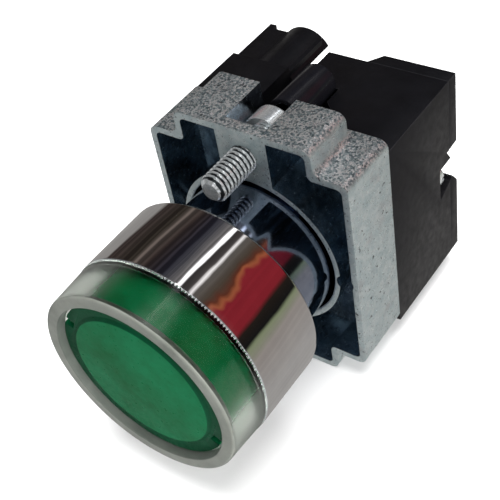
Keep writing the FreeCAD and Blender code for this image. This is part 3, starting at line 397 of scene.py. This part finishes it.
def rounded(points, closed=True, steps=4):
    """Polygon corners (a, b, radius), each made round in steps unless its radius is 0."""
    out = []
    count = len(points)
    for i, (a, b, radius) in enumerate(points):
        here = Vector((a, b))
        if radius <= 0 or (not closed and i in (0, count - 1)):
            out.append((a, b))
            continue
        before = Vector(points[i - 1][:2]) - here
        after = Vector(points[(i + 1) % count][:2]) - here
        angle = before.angle(after)
        room = 0.48 * min(before.length, after.length)
        reach = min(radius / math.tan(angle / 2), room)
        start, end = here + before.normalized() * reach, here + after.normalized() * reach
        for k in range(steps + 1):
            t = k / steps
            p = start.lerp(here, t).lerp(here.lerp(end, t), t)
            out.append((p.x, p.y))
    return out


def lathe(name, profile, segments, closed=True, x=0.0, z=0.0):
    """Turn a (radius, y) profile about an axis along Y through (x, z)."""
    verts, faces = [], []
    count = len(profile)
    for s in range(segments):
        angle = 2 * math.pi * s / segments
        c, d = math.cos(angle), math.sin(angle)
        verts += [(x + r * c, y, z + r * d) for r, y in profile]
    last = count if closed else count - 1
    for s in range(segments):
        a, b = s * count, (s + 1) % segments * count
        for i in range(last):
            j = (i + 1) % count
            quad = [a + i, a + j, b + j, b + i]
            ring = [k for n, k in enumerate(quad) if n == 0 or verts[k] != verts[quad[n - 1]]]
            if profile[i][0] == 0 and profile[j][0] == 0:
                continue
            if profile[i][0] == 0:
                ring = [a + i, a + j, b + j]
            elif profile[j][0] == 0:
                ring = [a + i, a + j, b + i]
            faces.append(ring)
    return mesh_from(name, verts, faces)


def softened(name, node, width, segments=2, edge_slot=0):
    """A copy of a CAD node's mesh with flat faces merged and its edges rounded.

    The rounded edges take the material in edge_slot.
    """
    flat, edge_turn = math.radians(1.0), math.radians(30)
    mesh = NODES[node].data.copy()
    mesh.name = name
    mesh.materials.clear()
    bm = bmesh.new()
    bm.from_mesh(mesh)
    bmesh.ops.remove_doubles(bm, verts=bm.verts, dist=2e-6)
    bmesh.ops.dissolve_limit(bm, angle_limit=flat, verts=bm.verts, edges=bm.edges,
                             use_dissolve_boundaries=False)
    chosen = [edge for edge in bm.edges if len(edge.link_faces) == 2
              and edge.calc_face_angle(0.0) > edge_turn]
    bmesh.ops.bevel(bm, geom=chosen, offset=width * MM, offset_type="OFFSET",
                    segments=segments, profile=0.5, affect="EDGES", clamp_overlap=True,
                    material=edge_slot)
    bm.to_mesh(mesh)
    bm.free()
    mesh.update()
    return mesh


# ------------------------------------------------------------------ stage, light, camera
def make_camera():
    """The photo's own view, solved from its picture with the sideways squash undone."""
    place = Vector((66.66, -65.26, 93.77)) * MM
    data = bpy.data.cameras.new("camera")
    data.lens, data.sensor_width = 73.95, 36.0
    data.clip_start, data.clip_end = 0.005, 5.0
    camera = bpy.data.objects.new("camera", data)
    scene.collection.objects.link(camera)
    forward = Vector((-0.4944, 0.5350, -0.6851)).normalized()
    up = Vector((-0.3072, 0.6298, 0.7135))
    right = forward.cross(up).normalized()
    up = right.cross(forward)
    turn = Matrix((right, up, -forward)).transposed()
    camera.matrix_world = Matrix.Translation(place) @ turn.to_4x4()
    scene.camera = camera


def make_world():
    """Soft pale surroundings. Mirror-like surfaces see a dim room with a few cards in it."""
    world = bpy.data.worlds.new("studio")
    world.use_nodes = True
    scene.world = world
    world.node_tree.nodes.clear()
    w = Nodes(world.node_tree)
    soft = w.add("ShaderNodeBackground")
    soft.inputs["Color"].default_value = (1.0, 1.0, 1.0, 1)
    soft.inputs["Strength"].default_value = 0.75
    room = w.add("ShaderNodeBackground")
    w.feed(room.inputs["Color"], room_colour(w))
    pick = w.add("ShaderNodeMixShader")
    glossy = w.add("ShaderNodeLightPath").outputs["Is Glossy Ray"]
    for socket, value in zip(pick.inputs, (glossy, soft.outputs[0], room.outputs[0])):
        w.feed(socket, value)
    w.feed(w.add("ShaderNodeOutputWorld").inputs["Surface"], pick.outputs[0])


# (degrees round the button's axis from +X towards +Z, colour of what stands there)
CARDS = [
    (-180, (0.30, 0.29, 0.28)), (-60, (0.40, 0.39, 0.38)), (-16, (0.33, 0.30, 0.28)),
    (-2, (0.24, 0.28, 0.17)), (1, (0.01, 0.01, 0.01)), (13, (0.02, 0.015, 0.012)),
    (18, (0.26, 0.02, 0.03)), (42, (0.25, 0.02, 0.03)), (47, (0.38, 0.11, 0.05)),
    (52, (0.12, 0.035, 0.02)), (60, (0.08, 0.06, 0.045)), (72, (0.14, 0.13, 0.12)),
    (75, (1.0, 0.98, 0.98)), (77, (0.09, 0.08, 0.08)), (84.5, (0.05, 0.045, 0.045)),
    (86, (1.6, 1.6, 1.65)), (89, (1.4, 1.4, 1.45)), (90.5, (0.20, 0.19, 0.19)),
    (101, (0.06, 0.06, 0.07)), (110, (0.02, 0.02, 0.03)), (128, (0.03, 0.022, 0.02)),
    (141, (0.11, 0.09, 0.08)), (146, (0.03, 0.025, 0.02)), (176, (0.04, 0.03, 0.028)),
    (180, (0.20, 0.19, 0.18)),
]
RAGGED_EDGE = [(28, 0), (40, 1), (52, 1), (62, 0)]
DARK_SIDE = [(60, 0.06), (102, 0.85), (176, 0.85)]


def room_colour(w):
    """What a reflected ray sees.

    It depends on the ray's turn about the button's axis, and on how far it runs along that axis.
    """
    def round_axis(turn, stops):
        return w.ramp(turn, [((degrees + 180) / 360, value) for degrees, value in stops])

    ray = w.add("ShaderNodeTexCoord").outputs["Generated"]
    split = w.add("ShaderNodeSeparateXYZ")
    w.feed(split.inputs[0], ray)
    x, y, z = split.outputs
    wobble = 0.013
    turn = w.calculate("ADD", w.span(w.calculate("ARCTAN2", z, x), 0.0, 1.0, -math.pi, math.pi),
                       w.calculate("MULTIPLY_ADD", w.noise_over(ray, 2.6, 3.0),
                                   2 * wobble, -wobble))

    # the cards' colours stand behind the button only: elsewhere the room is grey
    behind = w.span(y, 0.0, 1.0, 0.20, 0.38, "SMOOTHSTEP")
    # the red card's orange edge is ragged
    ragged = w.calculate("SUBTRACT", w.noise_over(y, 10.0, 1.5, line=True), 0.5)
    ragged = w.calculate("MULTIPLY", ragged, round_axis(turn, RAGGED_EDGE))
    ragged = w.calculate("MULTIPLY", ragged, behind)
    grey = w.add("ShaderNodeHueSaturation")
    w.feed(grey.inputs["Saturation"], behind)
    w.feed(grey.inputs["Color"],
           round_axis(w.calculate("MULTIPLY_ADD", ragged, 0.085, turn), CARDS))

    # narrow streaks, strong on the dark side of the room and faint elsewhere
    streaks = w.span(w.noise_over(turn, 60.0, 3.0, line=True), 0.6, 2.0, 0.40, 0.66)
    tone = w.add("ShaderNodeMix", data_type="FLOAT")
    for index, value in ((0, round_axis(turn, DARK_SIDE)), (2, 1.0), (3, streaks)):
        w.feed(tone.inputs[index], value)
    # straight behind the button the room is dark, so threads and edges stand out
    depth = w.span(y, 1.0, 0.08, 0.72, 0.95)
    lit = w.add("ShaderNodeVectorMath", operation="SCALE")
    w.feed(lit.inputs[0], grey.outputs[0])
    w.feed(lit.inputs["Scale"], w.calculate("MULTIPLY", tone.outputs[0], depth))
    return lit.outputs[0]


def make_floor():
    """A pale floor just under the part, which no reflection shows."""
    half_width, gap = 0.6, 0.0002
    bm = bmesh.new()
    bmesh.ops.create_grid(bm, x_segments=24, y_segments=24, size=half_width)
    mesh = bpy.data.meshes.new("floor")
    bm.to_mesh(mesh)
    bm.free()
    floor = bpy.data.objects.new("floor", mesh)
    floor.location.z = CAD_BOX[0].z - gap
    scene.collection.objects.link(floor)
    m = Shade("pale_floor", Roughness=0.9)
    m.mottled(m.noise(0.02), (0.93, 0.93, 0.93), (0.96, 0.96, 0.96))
    mesh.materials.append(m.material)
    floor.visible_glossy = False


def make_lamp(name, place, size, power):
    """A round lamp that looks at the head and shows in no reflection."""
    target = Vector((0, 0.01, 0))
    data = bpy.data.lights.new(name, "AREA")
    data.shape = "DISK"
    data.size = size
    data.energy = power
    lamp = bpy.data.objects.new(name, data)
    lamp.location = place
    lamp.rotation_euler = (target - Vector(place)).to_track_quat("-Z", "Y").to_euler()
    lamp.visible_glossy = False
    scene.collection.objects.link(lamp)


scene.view_settings.view_transform = "Standard"
make_camera()
make_world()
make_floor()
make_lamp("overhead", (0.05, 0.0, 0.45), 0.35, 3.0)
make_lamp("side", (0.42, -0.10, 0.12), 0.25, 2.2)

for part in frame["record"]["subparts"]:
    node = NODES[part["node"]]
    node.data.materials.clear()
    node.data.materials.append(SLOTS[part["material_slot"]])


# ------------------------------------------------------------------ head
def span_y(node):
    """Front and rear of a CAD node along the button's axis, in millimetres."""
    low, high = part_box(node)
    return low.y / MM, high.y / MM


def middle(node):
    """(x, z) of the middle of a CAD node, in millimetres."""
    low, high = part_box(node)
    return (low.x + high.x) / 2 / MM, (low.z + high.z) / 2 / MM


def make_bezel():
    """The chromed ring, open at the front for the guard, with a groove for the gasket behind."""
    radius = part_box("bezel")[1].x / MM
    front, rear = span_y("bezel")
    lip, wall, web = radius - 1.6, radius - 1.2, radius - 3.15
    lip_rear, web_front = front + 2.4, rear - 2
    groove_out, groove_in, groove_floor = radius - 1, radius - 2.5, rear - 1
    profile = rounded([
        (lip, front, 0.10), (radius, front, 0.22), (radius, rear, 0.4), (groove_out, rear, 0.06),
        (groove_out, groove_floor, 0), (groove_in, groove_floor, 0), (groove_in, rear, 0.06),
        (web, rear, 0.1), (web, web_front, 0), (wall, web_front, 0), (wall, lip_rear, 0),
        (lip, lip_rear, 0)])
    piece("bezel_shell", lathe("bezel_shell", profile, 256), "root", "chrome", ["bezel"])

    # fine teeth round the joint, which bite into the guard ring
    teeth = 190
    half = math.pi / teeth * 0.8
    outer, inner, crest, foot = radius - 0.01, radius - 0.62, radius - 0.06, front + 0.1
    verts, faces = [], []
    for i in range(teeth):
        here = 2 * math.pi * i / teeth
        top = front - 0.20 - 0.10 * random.random()
        for turn, r, y in ((-half, outer, foot), (half, outer, foot), (half, inner, foot),
                           (-half, inner, foot), (0, crest, top)):
            verts.append((r * math.cos(here + turn), y, r * math.sin(here + turn)))
        k = 5 * i
        faces += [(k, k + 1, k + 4), (k + 1, k + 2, k + 4), (k + 2, k + 3, k + 4),
                  (k + 3, k, k + 4), (k + 3, k + 2, k + 1, k)]
    piece("bezel_teeth", mesh_from("bezel_teeth", verts, faces), "root", "chrome",
          materials=[SLOTS["zinc_plate"]], sharp=20)


def make_guard():
    """The clear ring, with its front face ground and its hole wall painted darker as shade."""
    front, rear = span_y("guard_ring")
    bezel_front = span_y("bezel")[0]
    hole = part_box("lens_cap")[1].x / MM + 0.3
    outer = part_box("bezel")[1].x / MM - 0.1
    skirt = outer - 1.6
    hole_rear = span_y("lens_cap")[0] + 0.9
    profile = rounded([
        (hole, front, 0.25), (outer - 0.3, front, 0.45), (outer, bezel_front, 0),
        (skirt, bezel_front, 0), (skirt, rear, 0.1), (hole, rear, 0.1),
        (hole, hole_rear, 0)], steps=6)
    mesh = lathe("guard_clear", profile, 256)
    obj = piece("guard_clear", mesh, "root", "clear_plastic", ["guard_ring"],
                [SLOTS["clear_plastic"], FROSTED, FROSTED_HOLE_SHADE], sharp=50)
    hole_skin, ground_depth = 0.12, 0.26
    for face in obj.data.polygons:
        radius = math.hypot(face.center.x, face.center.z) / MM
        # faces of the hole wall take the darker grey, painted shade
        if radius < hole + hole_skin and face.center.y < hole_rear * MM:
            face.material_index = 2
        elif face.center.y < (front + ground_depth) * MM:
            face.material_index = 1


def make_lens():
    """The green cap, with a darker rim, painted shade in its notch and a side wall painted
    brighter as light on it.
    """
    mesh = softened("lens_green", "lens_cap", 0.10)
    obj = piece("lens_green", mesh, "button", "green_lens", ["lens_cap"],
                [SLOTS["green_lens"], LENS_RIM, LENS_NOTCH_SHADE, LENS_SIDE_LIT])
    front = span_y("lens_cap")[0]
    notch_turn, notch_inner, notch_half, notch_depth = math.radians(152.0), 10.7, 0.7, 1.6
    side_radius, rim_radius, rim_depth, steep = 11.5, 9.85, 0.8, 0.3
    along = Vector((math.cos(notch_turn), 0, -math.sin(notch_turn)))
    across = Vector((math.sin(notch_turn), 0, math.cos(notch_turn)))
    for face in obj.data.polygons:
        at = face.center / MM
        corners = [mesh.vertices[k].co for k in face.vertices]
        radius = min(math.hypot(corner.x, corner.z) for corner in corners) / MM
        in_notch = abs(at.dot(along)) > notch_inner and abs(at.dot(across)) < notch_half
        # the notch is painted near black, as its shade
        if in_notch and at.y < front + notch_depth:
            face.material_index = 2
        # the side wall is painted brighter green, as light on it
        elif radius > side_radius and abs(face.normal.y) < steep:
            face.material_index = 3
        elif radius > rim_radius and at.y < front + rim_depth:
            face.material_index = 1


# ------------------------------------------------------------------ screws
def threaded(name, x, z, tip, rear, radius, pitch):
    """A threaded shank along Y whose front end is a blunt point."""
    around, per_turn = 32, 8
    point, blunt = 0.7, 0.62
    depth, groove = 0.42 * pitch, 0.78
    rows = max(8, round((rear - tip) / pitch * per_turn))
    verts, faces = [(x, tip, z)], []
    for j in range(rows + 1):
        y = tip + (rear - tip) * j / rows
        limit = radius * (blunt + (1 - blunt) * min(1.0, (y - tip) / point))
        for i in range(around):
            turn = 2 * math.pi * i / around
            phase = ((y - tip) / pitch - i / around) % 1.0
            valley = max(0.0, 1 - abs(phase - 0.5) * 2 / groove)
            r = min(limit, radius - depth * valley ** 0.8)
            verts.append((x + r * math.cos(turn), y, z + r * math.sin(turn)))
    for i in range(around):
        faces.append((0, 1 + (i + 1) % around, 1 + i))
    for j in range(rows):
        a = 1 + j * around
        for i in range(around):
            k = (i + 1) % around
            faces.append((a + i, a + k, a + around + k, a + around + i))
    faces.append(tuple(range(1 + rows * around, 1 + (rows + 1) * around)))
    return mesh_from(name, verts, faces)


def slotted_head(name, x, z, front, rear, radius):
    """A cheese head along Y with rounded edges and a straight slot across its rear face."""
    profile = rounded([(0, front, 0), (radius, front, 0.18), (radius, rear, 0.35),
                       (0, rear, 0)], closed=False)
    body = bpy.data.objects.new(name + "_turned", lathe(name, profile, 72, closed=False, x=x, z=z))
    half, floor, far = radius * 0.16, rear - (rear - front) * 0.5, radius + 1
    corners = [(x + a, y, z + b) for a in (-far, far) for y in (floor, rear + 1)
               for b in (-half, half)]
    quads = [(0, 1, 3, 2), (4, 6, 7, 5), (0, 4, 5, 1), (2, 3, 7, 6), (0, 2, 6, 4), (1, 5, 7, 3)]
    cutter = bpy.data.objects.new(name + "_cutter", mesh_from(name + "_cutter", corners, quads))
    for obj in (body, cutter):
        scene.collection.objects.link(obj)
    cut = body.modifiers.new("slot", "BOOLEAN")
    cut.operation, cut.object, cut.solver = "DIFFERENCE", cutter, "EXACT"
    soften = body.modifiers.new("edge", "BEVEL")
    soften.width, soften.segments, soften.limit_method = 0.05 * MM, 2, "ANGLE"
    soften.angle_limit = math.radians(50)
    bpy.context.view_layer.update()
    shown = body.evaluated_get(bpy.context.evaluated_depsgraph_get())
    mesh = bpy.data.meshes.new_from_object(shown)
    for obj in (body, cutter):
        bpy.data.objects.remove(obj)
    mesh.name = name
    return mesh


def make_screws():
    """Seven screws, each a threaded shank with painted shade in its grooves and a slotted head."""
    # the shank's radius and the thread's pitch
    shanks = {
        "clamp_screw": (1.95, 0.70), "contact_fixing_screw": (1.2, 0.5),
        "module_fixing_screw": (1.2, 0.5), "contact_screw_upper": (1.4, 0.6),
        "contact_screw_lower": (1.4, 0.6), "module_screw_upper": (1.4, 0.6),
        "module_screw_lower": (1.4, 0.6),
    }
    head_depths = {"clamp": 3.1, "fixing": 1.6, "terminal": 1.8}
    overlap, bare_tip, shaded_half = 0.1, 0.2, 0.21
    for name, (shank, pitch) in shanks.items():
        tip, rear = span_y(name)
        x, z = middle(name)
        kind = next((kind for kind in head_depths if kind in name), "terminal")
        head_front = rear - head_depths[kind]
        low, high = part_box(name)
        head_radius = (high.x - low.x) / 2 / MM
        body = name + "_body"
        thread = piece(name + "_thread",
                       threaded(name + "_thread", x, z, tip, head_front + overlap, shank, pitch),
                       body, "zinc_plate", [name], [SLOTS["zinc_plate"], THREAD_ROOT_SHADE])
        # faces in the thread's groove take the dark material, painted shade
        for face in thread.data.polygons:
            at = face.center / MM
            turn = math.atan2(at.z - z, at.x - x) / (2 * math.pi)
            phase = ((at.y - tip) / pitch - turn) % 1.0
            if abs(phase - 0.5) < shaded_half and at.y > tip + bare_tip:
                face.material_index = 1
        piece(name + "_head", slotted_head(name + "_head", x, z, head_front, rear, head_radius),
              body, "zinc_plate", sharp=40)


# ------------------------------------------------------------------ collar, blocks
def make_collar():
    """The casting, glossier in its pockets with painted shade there, and with a painted highlight
    along its rounded edges.
    """
    # the rounded edges take slot 2, the pale zinc painted as a highlight
    mesh = softened("collar_casting", "fixing_collar", 0.16, segments=3, edge_slot=2)
    low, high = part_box("fixing_collar")
    obj = piece("collar_casting", mesh, "root", "zinc_casting", ["fixing_collar"],
                [SLOTS["zinc_casting"], CASTING_POCKET_SHADE, ZINC_EDGE_HIGHLIGHT])
    edge, front_skin, rear_skin = 0.55, 0.35, 0.3
    side, top = high.x / MM, high.z / MM
    shoulder, hump_half = top - 3.6, side - 4.75
    hump_skin, pillar_half, pillar_foot = 14.4, 4.2, 12.0
    for face in obj.data.polygons:
        at = face.center / MM
        # faces in the pockets take the darker bluish metal, painted shade
        in_shaded_pocket = abs(at.x) < side - edge and abs(at.z) < shoulder - edge
        in_shaded_pocket = in_shaded_pocket or abs(at.x) < hump_half - edge and abs(at.z) < top - edge
        skin = abs(at.z) > hump_skin and face.normal.z * at.z > 0.5 * abs(at.z)
        between = low.y / MM + front_skin < at.y < high.y / MM - rear_skin
        pillar = abs(at.x) < pillar_half and abs(at.z) > pillar_foot and abs(face.normal.x) < 0.5
        if face.material_index == 0 and in_shaded_pocket and between and not skin and not pillar:
            face.material_index = 1


def make_blocks():
    """The two plastic blocks with their covers, and the black tubes behind the clamp screw."""
    for name, node, width in (("contact_block", "contact_housing", 0.14),
                              ("contact_side_cover", "contact_cover", 0.12),
                              ("module_block", "light_housing", 0.14),
                              ("module_rear_cover", "light_cover", 0.14)):
        # the rounded edges take slot 1, the paler black painted as a highlight
        piece(name, softened(name, node, width, edge_slot=1), "root", "black_plastic",
              [node], [SLOTS["black_plastic"], BLACK_EDGE_HIGHLIGHT])
    mesh = softened("driver_guide", "screw_guide", 0.16)
    piece("driver_guide", mesh, "root", "black_plastic", ["screw_guide"], [GLOSSY_BLACK])


# ------------------------------------------------------------------ springs
def coil(name, x, z, front, rear, radius, wire, turns):
    """A compression spring along Y with one closed turn at each end."""
    steps, sides = round(turns * 36), 12
    closed, lap = 1.0, wire * 1.02
    verts, faces = [], []
    free = (rear - front - wire) - 2 * closed * lap
    for i in range(steps + 1):
        turn = turns * i / steps
        along = min(turn, closed) * lap
        along += free * min(1.0, max(0.0, (turn - closed) / (turns - 2 * closed)))
        along += max(0.0, turn - (turns - closed)) * lap
        angle = 2 * math.pi * turn
        for k in range(sides):
            a = 2 * math.pi * k / sides
            r = radius + wire / 2 * math.cos(a)
            y = front + wire / 2 + along + wire / 2 * math.sin(a)
            verts.append((x + r * math.cos(angle), y, z + r * math.sin(angle)))
    for i in range(steps):
        for k in range(sides):
            a, b = i * sides, (i + 1) * sides
            j = (k + 1) % sides
            faces.append((a + k, a + j, b + j, b + k))
    faces.append(tuple(range(sides)))
    faces.append(tuple(range(steps * sides, (steps + 1) * sides)))
    return mesh_from(name, verts, faces)


def make_springs():
    """Three springs, each a coil in place of its CAD node, riding on its body with a mesh of its
    own.
    """
    for name, node, body, joint, turns, wire, travel in (
            ("button_spring", "return_spring", "root", "button_press", 6, 0.8, 4.0),
            ("plunger_spring", "pressure_spring", "bridge", "plunger_slide", 5, 0.35, 2.0),
            ("bridge_spring", "contact_return_spring", "root", "bridge_slide", 7, 0.35, 2.0)):
        front, rear = span_y(node)
        x, z = middle(node)
        low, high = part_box(node)
        radius = (high.z - low.z) / 2 / MM - wire / 2
        obj = piece(name, coil(name, x, z, front, rear, radius, wire, turns), body,
                    "spring_steel", [node], sharp=60)
        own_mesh(obj)


make_bezel()
make_guard()
make_lens()
make_screws()
make_collar()
make_blocks()
make_springs()
